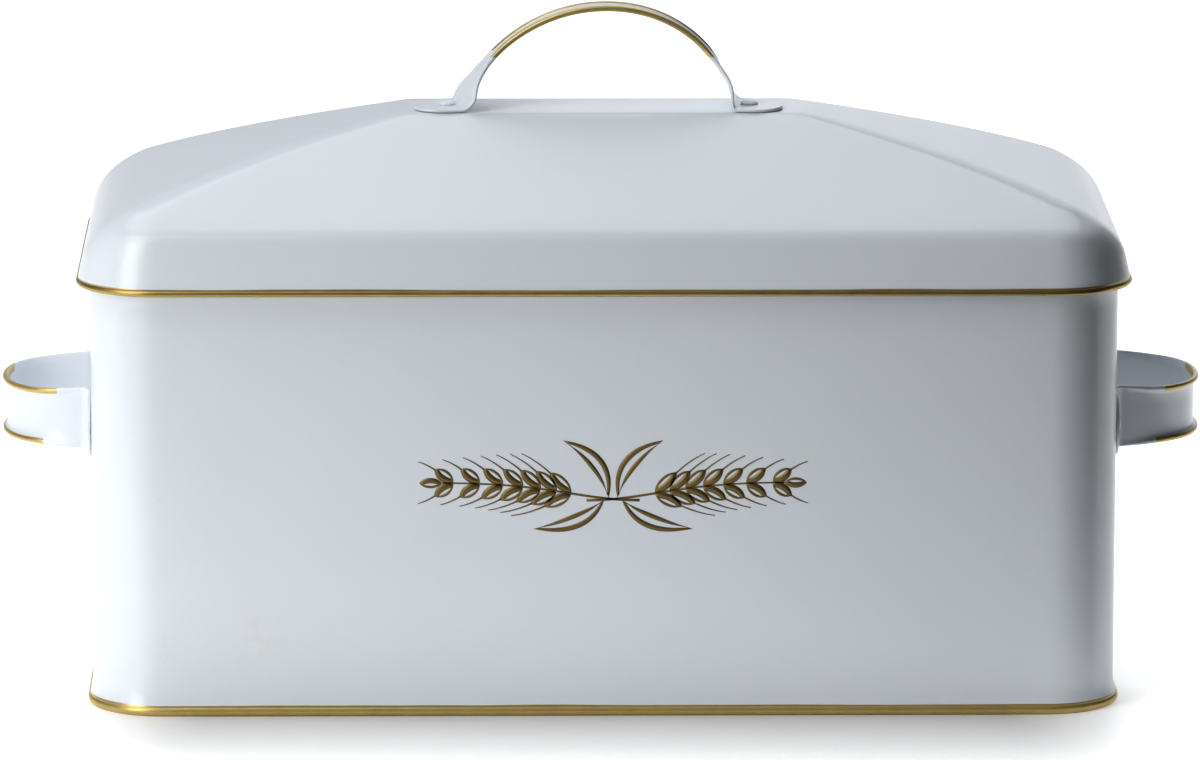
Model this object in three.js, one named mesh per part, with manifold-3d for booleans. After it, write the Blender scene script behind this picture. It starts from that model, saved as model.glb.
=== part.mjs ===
// Sheet-steel bread bin: a straight-walled tub with a rolled mouth and a beaded base, two strap
// handles riveted to its ends, and a lift-off lid with a hipped top and a strap handle.
// Millimetres, +Z up. The origin is the middle of the footprint, on the surface the bin stands on.
// The front faces -Y and the long side runs along X.

import * as THREE from 'three';
import { mergeVertices } from 'three/addons/utils/BufferGeometryUtils.js';
import Module from 'manifold-3d';

const wasm = await Module();
wasm.setup();

// ---- Driving dimensions ----

const SHEET = 0.7;               // enamelled sheet, with its coating
const GAP = 0.3;                 // between neighbouring pieces
const CORNER_STEPS = 6;

const WALL_HALF_X = 174.5;       // outside of the straight wall
const WALL_HALF_Y = 79.2;
const WALL_CORNER = 24;
const MOUTH_Z = 154.7;           // top of the rolled mouth
const MOUTH_CURL = 0.9;          // radius of the rolled mouth

const BASE_BEAD = 1.7;           // radius of the base bead
const BASE_FLAT = 0.8;           // half width of the flat that the bin stands on
const FLARE_Z = 10;              // the wall flares out to the bead below this height
const FLARE_OUT = 1.5;
const FLOOR_Z = 2.1;             // underside of the floor pan
const FLOOR_RAISE = 1.6;         // height of the pan's pressed centre
const FLOOR_LIP = 3.3;           // height of the pan's upturned edge

const LID_HALF_X = 179.2;        // outside of the lid's rim bead
const LID_HALF_Y = 83.9;
const LID_CORNER = 28;
const LID_RIM_Z = 145.3;         // bottom of the rim bead
const RIM_BEAD = 1.15;           // radius of the rim bead
const SKIRT_HEIGHT = 7;
const SKIRT_LEAN = THREE.MathUtils.degToRad(13);
const SHOULDER_Z = 171.2;        // where the end shoulders turn into the sloping top
const SHOULDER_IN_X = 19;        // how far in from the rim the end shoulders finish
const FRONT_TURN_Z = 165.4;      // where the front and back turn from skirt to sloping top
const FRONT_ROUND = 3.5;         // how softly they turn
const SHOULDER_CORNER = 10;
const TOP_Z = 196.5;             // the flat at the top of the lid
const TOP_HALF_X = 70;
const TOP_HALF_Y = 15.7;
const TOP_CORNER = 6;
const ROOF_SWELL_X = 7.5;        // how far the sloping top swells out at the ends

const STRAP = 1.0;               // handle strap thickness
const EDGE_BEAD = 1.0;           // radius of the rolled strap edge on the grip

const ARCH_RISE = 34.4;          // top handle, middle of the strap above the lid's top
const ARCH_HALF_SPAN = 45;       // where the arch meets its foot bends
const TOP_CENTRE_X = -1.4;       // the handle is riveted a little off the lid's middle
const TOP_FOOT_REACH = 63.5;     // foot tips, from the handle's middle
const TOP_FOOT_HALF = 12.5;
const TOP_FOOT_Y = -3;           // the feet are set a little forward of the arch
const TOP_TIP_Y = -5.5;          // and their tips a little more
const TOP_GRIP_HALF = 6.2;
const TOP_TWIST = THREE.MathUtils.degToRad(7.5);
const TOP_SPLAY = THREE.MathUtils.degToRad(8);
const ARCH_LEAN = 3.0;           // how far the arch's top stands off its own middle
const TOP_RIVET_X = 52;
const TOP_RIVET_Y = -4;

const SIDE_Z = 93.8;             // middle height of the side handles
const SIDE_REACH = 207.0;        // outermost point of the side handles
const SIDE_ARM_HALF = 32.4;      // half spread of the loop at the wall
const SIDE_FOOT_REACH = 54.5;
const SIDE_FOOT_HALF = 10.8;
const SIDE_GRIP_HALF = 9.8;
const SIDE_FLARE = 1.2;          // how far the strap edges turn outward
const SIDE_RIVET_Y = 43.5;

const RIVET_SHANK = 1.6;
const RIVET_HEAD = 3.1;
const RIVET_RISE = 1.3;
const RIVET_TAIL = 2.6;
const TAIL_RISE = 0.9;
const WASHER_OUTER = 4.2;
const WASHER_THICK = 0.8;
const HOLE = RIVET_SHANK + GAP;

// ---- Materials ----

const white = { color: 0xe9ecf0, roughness: 0.38, metalness: 0.0 };
const gold = { color: 0xb48a34, roughness: 0.35, metalness: 0.8 };
const rivetSteel = { color: 0xe4e7ea, roughness: 0.4, metalness: 0.0 };
const plainSteel = { color: 0xb9bcc0, roughness: 0.35, metalness: 0.9 };

// ---- Solids ----

function toSolid(geometry) {
  const bare = geometry.clone();
  bare.deleteAttribute('normal');
  bare.deleteAttribute('uv');
  const merged = mergeVertices(bare, 1e-5);
  const vertProperties = new Float32Array(merged.attributes.position.array);
  const triVerts = new Uint32Array(merged.index.array);
  return new wasm.Manifold(new wasm.Mesh({ numProp: 3, vertProperties, triVerts }));
}

function toGeometry(solid) {
  const mesh = solid.getMesh();
  const geometry = new THREE.BufferGeometry();
  geometry.setAttribute('position', new THREE.BufferAttribute(mesh.vertProperties, 3));
  geometry.setIndex(new THREE.BufferAttribute(mesh.triVerts, 1));
  geometry.computeVertexNormals();
  return geometry;
}

function drill(geometry, holes) {
  let solid = toSolid(geometry);
  for (const hole of holes) solid = solid.subtract(toSolid(hole));
  return toGeometry(solid);
}

// A short rod along an axis, for drilling.
function rod(radius, length, centre, axis) {
  const geometry = new THREE.CylinderGeometry(radius, radius, length, 16);
  const turn = new THREE.Quaternion().setFromUnitVectors(new THREE.Vector3(0, 1, 0), axis);
  geometry.applyQuaternion(turn);
  geometry.translate(centre.x, centre.y, centre.z);
  return geometry;
}

// A rounded rectangle, counter-clockwise seen from above.
function roundedRing(halfX, halfY, corner, z) {
  const centres = [[1, 1], [-1, 1], [-1, -1], [1, -1]];
  return centres.flatMap(([sx, sy], quarter) => {
    const start = quarter * Math.PI / 2;
    const arc = new THREE.EllipseCurve(
      sx * (halfX - corner), sy * (halfY - corner), corner, corner, start, start + Math.PI / 2);
    return arc.getPoints(CORNER_STEPS).map((p) => new THREE.Vector3(p.x, p.y, z));
  });
}

// Skins a stack of equal rings. A closed stack joins its last ring to its first; an open one is capped.
function loft(rings, closed) {
  const count = rings[0].length;
  const index = [];
  const spans = closed ? rings.length : rings.length - 1;
  for (let r = 0; r < spans; r += 1) {
    const low = r * count;
    const high = ((r + 1) % rings.length) * count;
    for (let i = 0; i < count; i += 1) {
      const j = (i + 1) % count;
      index.push(low + i, low + j, high + j, low + i, high + j, high + i);
    }
  }
  if (!closed) {
    const last = (rings.length - 1) * count;
    for (let i = 1; i < count - 1; i += 1) {
      index.push(0, i + 1, i, last, last + i, last + i + 1);
    }
  }
  const positions = rings.flat().flatMap((p) => [p.x, p.y, p.z]);
  const geometry = new THREE.BufferGeometry();
  geometry.setAttribute('position', new THREE.Float32BufferAttribute(positions, 3));
  geometry.setIndex(index);
  geometry.computeVertexNormals();
  return geometry;
}

const smooth = (t) => THREE.MathUtils.smoothstep(t, 0, 1);
const mix = THREE.MathUtils.lerp;
const bend = (a, b, c, t) => (1 - t) ** 2 * a + 2 * t * (1 - t) * b + t ** 2 * c;

function named(name, geometry, look) {
  const mesh = new THREE.Mesh(geometry, new THREE.MeshStandardMaterial(look));
  mesh.name = name;
  return mesh;
}

// ---- Body ----

// A ring that follows the wall's plan, moved outward by `out`.
const wallRing = (out, z) => roundedRing(WALL_HALF_X + out, WALL_HALF_Y + out, WALL_CORNER + out, z);

function bodyWall() {
  const bottom = 2 * BASE_BEAD + GAP;
  const curlZ = MOUTH_Z - MOUTH_CURL;
  const curlOut = MOUTH_CURL - SHEET / 2;
  const rings = [
    wallRing(FLARE_OUT, bottom),
    wallRing(FLARE_OUT * 0.3, (bottom + FLARE_Z) / 2),
    wallRing(0, FLARE_Z),
    wallRing(0, curlZ - MOUTH_CURL),
  ];
  const curlStart = -0.36 * Math.PI;
  const curlSteps = 6;
  for (let i = 0; i <= curlSteps; i += 1) {
    const angle = mix(curlStart, Math.PI, i / curlSteps);
    rings.push(wallRing(curlOut + MOUTH_CURL * Math.cos(angle), curlZ + MOUTH_CURL * Math.sin(angle)));
  }
  rings.push(wallRing(-SHEET, curlZ - MOUTH_CURL));
  rings.push(wallRing(-SHEET, FLARE_Z));
  rings.push(wallRing(FLARE_OUT * 0.3 - SHEET, (bottom + FLARE_Z) / 2));
  rings.push(wallRing(FLARE_OUT - SHEET, bottom));
  const holes = sideRivetPlaces().map(({ side, y }) =>
    rod(HOLE, 10, new THREE.Vector3(side * WALL_HALF_X, y, SIDE_Z), new THREE.Vector3(1, 0, 0)));
  const wall = drill(loft(rings, true), holes);
  const seam = rearSeam(FLARE_Z + 2, curlZ - MOUTH_CURL - 2);
  return toGeometry(toSolid(wall).add(toSolid(seam)));
}

// The lock seam up the middle of the back, where the wall's two ends fold together.
function rearSeam(low, high) {
  const halfWidth = 3.2;
  const rise = 0.8;
  const outline = new THREE.Shape();
  outline.moveTo(-halfWidth, -SHEET / 2);
  outline.lineTo(halfWidth, -SHEET / 2);
  outline.lineTo(halfWidth - rise / 2, rise);
  outline.lineTo(-halfWidth + rise / 2, rise);
  outline.closePath();
  const geometry = new THREE.ExtrudeGeometry(outline, { depth: high - low, bevelEnabled: false });
  geometry.translate(0, WALL_HALF_Y, low);
  return geometry;
}

// A pressed pan: an upturned edge inside the wall and a raised centre.
function floorPan() {
  const edge = -(SHEET + GAP + 1);
  const inner = edge - SHEET;
  const step = -14;
  const stepRun = 4;
  const top = FLOOR_Z + SHEET;
  const rings = [
    wallRing(step - stepRun, FLOOR_Z + FLOOR_RAISE),
    wallRing(step, FLOOR_Z),
    wallRing(edge - 1, FLOOR_Z),
    wallRing(edge, FLOOR_Z + 1),
    wallRing(edge, FLOOR_Z + FLOOR_LIP),
    wallRing(inner, FLOOR_Z + FLOOR_LIP),
    wallRing(inner, top + 1),
    wallRing(inner - 1, top),
    wallRing(step, top),
    wallRing(step - stepRun, top + FLOOR_RAISE),
  ];
  return loft(rings, false);
}

// The rolled gold bead that the wall stands on, flattened underneath.
function baseBead() {
  const centre = FLARE_OUT - BASE_BEAD + 0.3;
  const rings = [wallRing(centre + BASE_FLAT, 0)];
  const steps = 7;
  for (let i = 0; i <= steps; i += 1) {
    const angle = mix(-0.22 * Math.PI, 1.22 * Math.PI, i / steps);
    rings.push(wallRing(centre + BASE_BEAD * Math.cos(angle), BASE_BEAD * (1 + Math.sin(angle))));
  }
  rings.push(wallRing(centre - BASE_FLAT, 0));
  return loft(rings, true);
}

// ---- Lid ----

// The lid's outside as a list of rounded rectangles, from the top of the rim bead to the top flat.
function lidOutline() {
  const skirtFoot = LID_RIM_Z + 2 * RIM_BEAD + GAP;
  const skirtTop = skirtFoot + SKIRT_HEIGHT;
  const footIn = 0.7;
  const skirtAt = (z) => footIn + (z - skirtFoot) * Math.tan(SKIRT_LEAN);
  // The front and back are two straight slopes, rounded where they meet.
  const frontIn = (z) => {
    const skirt = skirtAt(z);
    const rise = (z - FRONT_TURN_Z) / (TOP_Z - FRONT_TURN_Z);
    const slope = mix(skirtAt(FRONT_TURN_Z), LID_HALF_Y - TOP_HALF_Y, rise);
    return (skirt + slope + Math.hypot(skirt - slope, FRONT_ROUND)) / 2;
  };
  const skirtIn = skirtAt(skirtTop);
  const turnRise = 0.55 * (SHOULDER_Z - skirtTop);
  const turnIn = skirtIn + turnRise * Math.tan(SKIRT_LEAN);
  const levels = [
    { inX: footIn, corner: LID_CORNER - footIn, z: skirtFoot },
    { inX: skirtIn, corner: LID_CORNER - skirtIn, z: skirtTop },
  ];
  const shoulderSteps = 10;
  for (let i = 1; i <= shoulderSteps; i += 1) {
    const t = i / shoulderSteps;
    levels.push({
      inX: bend(skirtIn, turnIn, SHOULDER_IN_X, t),
      corner: bend(LID_CORNER - skirtIn, LID_CORNER - turnIn, SHOULDER_CORNER, t),
      z: bend(skirtTop, skirtTop + turnRise, SHOULDER_Z, t),
    });
  }
  const roofSteps = 6;
  for (let i = 1; i <= roofSteps; i += 1) {
    const t = i / roofSteps;
    levels.push({
      inX: mix(SHOULDER_IN_X, LID_HALF_X - TOP_HALF_X, t) - ROOF_SWELL_X * 4 * t * (1 - t),
      corner: mix(SHOULDER_CORNER, TOP_CORNER, t),
      z: mix(SHOULDER_Z, TOP_Z, t),
    });
  }
  return levels.map((level) => ({ ...level, inY: frontIn(level.z) }));
}

function lidShell() {
  const outside = lidOutline();
  const ring = ({ inX, inY, corner, z }, thick, drop) => roundedRing(
    LID_HALF_X - inX - thick, LID_HALF_Y - inY - thick, Math.max(corner - thick, 1), z - drop);
  // The skirt is thinned sideways, the sloping top downward, and the shoulder between by a mix of both.
  const share = (z) => smooth((z - outside[1].z) / (SHOULDER_Z - outside[1].z));
  const inside = outside.map((level, i) => {
    const s = i === 0 ? 0 : share(level.z);
    return ring(level, SHEET * (1 - s), SHEET * 1.1 * s);
  });
  const rings = [...inside.reverse(), ...outside.map((level) => ring(level, 0, 0))];
  const holes = [-1, 1].map((side) => rod(HOLE, 10,
    new THREE.Vector3(TOP_CENTRE_X + side * TOP_RIVET_X, TOP_RIVET_Y, TOP_Z), new THREE.Vector3(0, 0, 1)));
  return drill(loft(rings, false), holes);
}

// The rolled gold edge under the skirt.
function lidRimBead() {
  const rings = [];
  const steps = 8;
  for (let i = 0; i < steps; i += 1) {
    const angle = i / steps * 2 * Math.PI;
    const out = RIM_BEAD * (Math.cos(angle) - 1);
    rings.push(roundedRing(LID_HALF_X + out, LID_HALF_Y + out, LID_CORNER + out,
      LID_RIM_Z + RIM_BEAD * (1 + Math.sin(angle))));
  }
  return loft(rings, true);
}

// ---- Handle straps ----

// The strap's section: x across the width, y out from the hand side. The edges are rolled to radius
// `bead` and turned outward by `flare`.
function strapSection(half, bead, flare) {
  const neck = Math.min(3, 0.6 * half);
  const face = STRAP / 2;
  const edge = [
    [half - neck, -face],
    [half - bead, flare - bead],
    [half - 0.3 * bead, flare - 0.7 * bead],
    [half, flare],
    [half - 0.3 * bead, flare + 0.7 * bead],
    [half - bead, flare + bead],
    [half - Math.min(1.9 * bead, 0.9 * neck), Math.max(face, flare + 0.5 * bead)],
    [half - 1.05 * neck, face],
  ];
  return [...edge, ...edge.map(([x, y]) => [-x, y]).reverse()];
}

// A strap along a path. `across` gives the direction of its width from the distance to the nearer tip
// and the half of the path that it is in, -1 or 1.
// The feet are flat with round tips, and the grip is narrower, with rolled edges.
function strap(path, across, footHalf, gripHalf, gripFlare, blendStart, blendEnd) {
  const length = path.getLength();
  const tipSteps = 4;
  const distances = [];
  for (let i = 1; i <= tipSteps; i += 1) {
    distances.push(footHalf * (1 - Math.cos(i / tipSteps * Math.PI / 2)) + 0.05);
  }
  const runSteps = 17;
  for (let i = 1; i <= runSteps; i += 1) {
    distances.push(mix(footHalf + 0.05, length / 2, i / runSteps));
  }
  const mirrored = distances.slice(0, -1).reverse().map((d) => length - d);
  const rings = [...distances, ...mirrored].map((d) => {
    const fromTip = Math.min(d, length - d);
    const grip = smooth((fromTip - blendStart) / (blendEnd - blendStart));
    const reach = Math.min(fromTip, footHalf);
    const tipHalf = Math.sqrt(footHalf ** 2 - (footHalf - reach) ** 2);
    const half = mix(tipHalf, gripHalf, grip);
    const bead = mix(STRAP / 2, EDGE_BEAD, grip);
    const point = path.getPoint(d / length);
    const along = path.getTangent(d / length);
    const side = across(fromTip, d < length / 2 ? -1 : 1);
    const out = new THREE.Vector3().crossVectors(along, side).normalize();
    return strapSection(half, bead, gripFlare * grip).map(([x, y]) =>
      point.clone().addScaledVector(side, x).addScaledVector(out, y));
  });
  return loft(rings, false);
}

// The other half of a path: mirrored, and run the other way.
const turned = (points, flip) => points.map((p) => flip(p.clone())).reverse();

function curveThrough(points) {
  if (points.length === 2) return new THREE.LineCurve3(...points);
  if (points.length === 3) return new THREE.QuadraticBezierCurve3(...points);
  return new THREE.CubicBezierCurve3(...points);
}

function symmetricPath(halfPieces, flip) {
  const path = new THREE.CurvePath();
  halfPieces.forEach((points) => path.add(curveThrough(points)));
  [...halfPieces].reverse().forEach((points) => path.add(curveThrough(turned(points, flip))));
  return path;
}

function topHandle() {
  const middle = (up) => TOP_CENTRE_X + ARCH_LEAN * up / ARCH_RISE;
  const at = (x, up, y) => new THREE.Vector3(x + middle(up), y, TOP_Z + up);
  const footUp = GAP + STRAP / 2;
  const legUp = 6.2;
  const bendX = TOP_RIVET_X - RIVET_HEAD - GAP;
  const legFoot = at(-ARCH_HALF_SPAN, legUp, 0.7 * TOP_FOOT_Y);
  const left = [
    [at(-TOP_FOOT_REACH, footUp, TOP_TIP_Y), at(-bendX, footUp, TOP_FOOT_Y)],
    [at(-bendX, footUp, TOP_FOOT_Y), at(-ARCH_HALF_SPAN - 1.7, footUp, 0.85 * TOP_FOOT_Y), legFoot],
    [legFoot, at(-38.8, 20, 0.2 * TOP_FOOT_Y), at(-23, ARCH_RISE, 0), at(0, ARCH_RISE, 0)],
  ];
  const path = symmetricPath(left, (p) => p.setX(2 * middle(p.z - TOP_Z) - p.x));
  // Riveting the feet down has left a small twist in each leg, and the bends splayed a little.
  const across = (fromTip, end) => {
    const twist = TOP_TWIST * smooth((fromTip - 13) / 8) * (1 - smooth((fromTip - 22) / 16));
    const splay = TOP_SPLAY * smooth((fromTip - 9) / 7) * (1 - smooth((fromTip - 18) / 10));
    const turn = twist - end * splay;
    return new THREE.Vector3(-Math.sin(turn), Math.cos(turn), 0);
  };
  const geometry = strap(path, across, TOP_FOOT_HALF, TOP_GRIP_HALF, 0.3, 16, 46);
  const holes = [-1, 1].map((side) => rod(HOLE, 6,
    new THREE.Vector3(TOP_CENTRE_X + side * TOP_RIVET_X, TOP_RIVET_Y, TOP_Z + footUp), new THREE.Vector3(0, 0, 1)));
  return drill(geometry, holes);
}

// The right-hand side handle; the left one is the same piece turned half round.
function sideHandle() {
  const at = (out, y) => new THREE.Vector3(WALL_HALF_X + out, y, SIDE_Z);
  const footOut = GAP + STRAP / 2;
  const loopOut = SIDE_REACH - WALL_HALF_X - SIDE_FLARE - EDGE_BEAD;
  const armOut = 5;
  const armY = SIDE_ARM_HALF - 0.5;
  const front = [
    [at(footOut, -SIDE_FOOT_REACH), at(footOut, -SIDE_ARM_HALF - 6)],
    [at(footOut, -SIDE_ARM_HALF - 6), at(footOut, -SIDE_ARM_HALF), at(armOut, -armY)],
    [at(armOut, -armY), at(loopOut, -0.87 * SIDE_ARM_HALF), at(loopOut, 0)],
  ];
  const path = symmetricPath(front, (p) => p.setY(-p.y));
  const across = () => new THREE.Vector3(0, 0, 1);
  const geometry = strap(path, across, SIDE_FOOT_HALF, SIDE_GRIP_HALF, SIDE_FLARE, 17, 42);
  const holes = [-1, 1].map((side) => rod(
    HOLE, 6, new THREE.Vector3(WALL_HALF_X + footOut, side * SIDE_RIVET_Y, SIDE_Z), new THREE.Vector3(1, 0, 0)));
  return drill(geometry, holes);
}

// ---- Rivets and washers ----

// A rivet along +Y, with y = 0 on the outside of the sheet it passes through. The strap foot is under
// its domed head and a washer is over its tail.
function rivetGeometry() {
  const headBase = GAP + STRAP + GAP;
  const tailTop = -(SHEET + GAP + WASHER_THICK + GAP);
  const profile = [
    [0, tailTop - TAIL_RISE],
    [RIVET_TAIL * 0.75, tailTop - TAIL_RISE],
    [RIVET_TAIL, tailTop - TAIL_RISE / 2],
    [RIVET_TAIL, tailTop],
    [RIVET_SHANK, tailTop],
    [RIVET_SHANK, headBase],
    [RIVET_HEAD, headBase],
    [RIVET_HEAD * 0.93, headBase + RIVET_RISE * 0.45],
    [RIVET_HEAD * 0.6, headBase + RIVET_RISE * 0.87],
    [0, headBase + RIVET_RISE],
  ];
  return new THREE.LatheGeometry(profile.map(([r, y]) => new THREE.Vector2(r, y)), 16);
}

function washerGeometry() {
  const top = -(SHEET + GAP);
  const bottom = top - WASHER_THICK;
  const profile = [[HOLE, bottom], [WASHER_OUTER, bottom], [WASHER_OUTER, top], [HOLE, top], [HOLE, bottom]];
  return new THREE.LatheGeometry(profile.map(([r, y]) => new THREE.Vector2(r, y)), 16);
}

function sideRivetPlaces() {
  return [-1, 1].flatMap((side) => [-1, 1].map((end) => ({
    side,
    y: end * SIDE_RIVET_Y,
    label: `${side < 0 ? 'left' : 'right'}_${end < 0 ? 'front' : 'rear'}`,
  })));
}

function fasteners() {
  const group = new THREE.Group();
  const place = (mesh, position, turn) => {
    mesh.position.copy(position);
    mesh.rotation.set(...turn);
    group.add(mesh);
  };
  for (const side of [-1, 1]) {
    const label = side < 0 ? 'left' : 'right';
    const spot = new THREE.Vector3(TOP_CENTRE_X + side * TOP_RIVET_X, TOP_RIVET_Y, TOP_Z);
    const upward = [Math.PI / 2, 0, 0];
    place(named(`top_rivet_${label}`, rivetGeometry(), rivetSteel), spot, upward);
    place(named(`top_washer_${label}`, washerGeometry(), plainSteel), spot, upward);
  }
  for (const { side, y, label } of sideRivetPlaces()) {
    const spot = new THREE.Vector3(side * WALL_HALF_X, y, SIDE_Z);
    const sideways = [0, 0, -side * Math.PI / 2];
    place(named(`side_rivet_${label}`, rivetGeometry(), rivetSteel), spot, sideways);
    place(named(`side_washer_${label}`, washerGeometry(), plainSteel), spot, sideways);
  }
  return group;
}

// ---- The whole bin ----

function bodyGroup() {
  const group = new THREE.Group();
  group.add(named('body_wall', bodyWall(), white));
  group.add(named('floor_pan', floorPan(), white));
  group.add(named('base_bead', baseBead(), gold));
  group.add(named('side_handle_right', sideHandle(), white));
  const left = named('side_handle_left', sideHandle(), white);
  left.rotation.z = Math.PI;
  group.add(left);
  return group;
}

function lidGroup() {
  const group = new THREE.Group();
  group.add(named('lid_shell', lidShell(), white));
  group.add(named('lid_rim_bead', lidRimBead(), gold));
  group.add(named('top_handle', topHandle(), white));
  return group;
}

const breadBin = new THREE.Group();
breadBin.add(bodyGroup(), lidGroup(), fasteners());

export default breadBin;
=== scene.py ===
import math

import bpy
from mathutils import Matrix, Vector


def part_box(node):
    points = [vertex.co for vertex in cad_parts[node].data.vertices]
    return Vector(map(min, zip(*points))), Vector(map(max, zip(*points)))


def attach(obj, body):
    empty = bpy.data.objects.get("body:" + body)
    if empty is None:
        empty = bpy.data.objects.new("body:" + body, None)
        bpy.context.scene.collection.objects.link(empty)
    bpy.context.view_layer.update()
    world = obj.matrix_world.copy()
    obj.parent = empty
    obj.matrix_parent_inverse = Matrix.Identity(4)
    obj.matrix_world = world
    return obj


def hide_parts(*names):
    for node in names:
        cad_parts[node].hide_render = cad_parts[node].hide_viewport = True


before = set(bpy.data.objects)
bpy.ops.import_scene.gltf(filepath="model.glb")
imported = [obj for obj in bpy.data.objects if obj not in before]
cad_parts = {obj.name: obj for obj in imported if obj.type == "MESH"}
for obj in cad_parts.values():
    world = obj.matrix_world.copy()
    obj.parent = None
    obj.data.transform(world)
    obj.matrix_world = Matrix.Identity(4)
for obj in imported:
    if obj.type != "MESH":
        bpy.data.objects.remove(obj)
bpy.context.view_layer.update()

# ---- Dimensions, in metres, most of them read from the frame ----

MM = 0.001
SHEET = 0.7 * MM
STRAP = 1.0 * MM
GAP = 0.3 * MM

wall_low, wall_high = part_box("body_wall")
bead_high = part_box("base_bead")[1]
pan_low, pan_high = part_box("floor_pan")
rim_low, rim_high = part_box("lid_rim_bead")
lid_low, lid_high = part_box("lid_shell")
loop_low, loop_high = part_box("side_handle_right")

FLARE = 1.5 * MM
FLARE_Z = 10 * MM
WALL_HALF_X = wall_high.x - FLARE
WALL_HALF_Y = -wall_low.y - FLARE
WALL_CORNER = 24 * MM
MOUTH_CURL = 0.9 * MM
MOUTH_Z = wall_high.z

BASE_BEAD = bead_high.z / 2
BASE_CENTRE = bead_high.x - BASE_BEAD - WALL_HALF_X
BASE_FLAT = 0.8 * MM

LID_HALF_X = rim_high.x
LID_HALF_Y = rim_high.y
LID_CORNER = 28 * MM
RIM_BEAD = (rim_high.z - rim_low.z) / 2
RIM_Z = (rim_high.z + rim_low.z) / 2
SKIRT_TOP = lid_low.z + 7 * MM
SKIRT_LEAN = math.radians(13)
SHOULDER_Z = lid_low.z + 23.3 * MM
SHOULDER_IN_X = 19 * MM
FRONT_TURN_Z = lid_low.z + 17.5 * MM
FRONT_ROUND = 3.5 * MM
SHOULDER_CORNER = 10 * MM
TOP_Z = lid_high.z
TOP_HALF_X = 70 * MM
TOP_HALF_Y = 15.7 * MM
TOP_CORNER = 6 * MM
SWELL_X = 7.5 * MM

EDGE_BEAD = 1.0 * MM
ARCH_RISE = 34.4 * MM
ARCH_LEAN = 3.0 * MM
ARCH_HALF_SPAN = 45 * MM
TOP_CENTRE_X = -1.4 * MM
TOP_FOOT_REACH = 63.5 * MM
TOP_FOOT_HALF = 12.5 * MM
TOP_FOOT_Y = -3 * MM
TOP_TIP_Y = -5.5 * MM
TOP_GRIP_HALF = 6.2 * MM
TOP_RIVET_X = 52 * MM
TOP_RIVET_Y = -4 * MM
RIVET_HEAD = 3.1 * MM

SIDE_Z = (loop_low.z + loop_high.z) / 2
SIDE_REACH = loop_high.x
SIDE_ARM_HALF = 32.4 * MM
SIDE_FOOT_REACH = 54.5 * MM
SIDE_FOOT_HALF = 10.8 * MM
SIDE_GRIP_HALF = 9.8 * MM
SIDE_FLARE = 1.2 * MM
SIDE_RIVET_Y = 43.5 * MM


def mix(a, b, t):
    return a + (b - a) * t


def smooth(t):
    t = min(max(t, 0), 1)
    return t * t * (3 - 2 * t)


def bend(a, b, c, t):
    return (1 - t) ** 2 * a + 2 * t * (1 - t) * b + t**2 * c


# ---- Node materials ----


def add_node(tree, kind, settings=None, **inputs):
    """A shader node. An input is a number, a colour or another node's output socket."""
    made = tree.nodes.new(kind)
    for key, value in (settings or {}).items():
        setattr(made, key, value)
    for key, value in inputs.items():
        socket = made.inputs[int(key[1:]) if key[0] == "_" else key.replace("_", " ")]
        if isinstance(value, bpy.types.NodeSocket):
            tree.links.new(value, socket)
        else:
            socket.default_value = value
    return made


def calc(tree, operation, *values):
    inputs = {f"_{i}": value for i, value in enumerate(values)}
    return add_node(tree, "ShaderNodeMath", {"operation": operation}, **inputs).outputs[0]


def ramp(tree, value, low, high):
    """0 below low, 1 above high, smooth between."""
    settings = {"interpolation_type": "SMOOTHSTEP", "clamp": True}
    return add_node(tree, "ShaderNodeMapRange", settings, _0=value, _1=low, _2=high).outputs[0]


def mix_colour(tree, factor, first, second):
    settings = {"data_type": "RGBA", "clamp_factor": True}
    return add_node(tree, "ShaderNodeMix", settings, _0=factor, _6=first, _7=second).outputs[2]


def mix_value(tree, factor, first, second):
    settings = {"data_type": "FLOAT", "clamp_factor": True}
    return add_node(tree, "ShaderNodeMix", settings, _0=factor, _2=first, _3=second).outputs[0]


def noise_at(tree, place, scale, detail=2.0, stretch=None):
    """Noise about 0.5, in cycles per metre."""
    if stretch is not None:
        place = add_node(tree, "ShaderNodeMapping", _0=place, Scale=stretch).outputs[0]
    return add_node(tree, "ShaderNodeTexNoise", Vector=place, Scale=scale, Detail=detail).outputs[0]


def new_material(name):
    material = bpy.data.materials.new(name)
    material.use_nodes = True
    tree = material.node_tree
    tree.nodes.clear()
    place = add_node(tree, "ShaderNodeTexCoord").outputs["Object"]
    surface = add_node(tree, "ShaderNodeBsdfPrincipled")
    out = add_node(tree, "ShaderNodeOutputMaterial")
    tree.links.new(surface.outputs[0], out.inputs[0])
    return material, tree, place, surface


def connect(tree, surface, **inputs):
    for key, value in inputs.items():
        socket = surface.inputs[key.replace("_", " ")]
        if isinstance(value, bpy.types.NodeSocket):
            tree.links.new(value, socket)
        else:
            socket.default_value = value


WHITE = (0.69, 0.735, 0.79, 1)
WHITE_SHADE = (0.66, 0.705, 0.765, 1)
GOLD = (0.58, 0.44, 0.15, 1)
GOLD_DEEP = (0.42, 0.30, 0.085, 1)
BRONZE = (0.10, 0.065, 0.016, 1)
STAIN = (0.62, 0.58, 0.50, 1)
GOLD_METAL = 0.65


def gold_colour(tree, place):
    return mix_colour(tree, noise_at(tree, place, 160, 4), GOLD_DEEP, GOLD)


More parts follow.
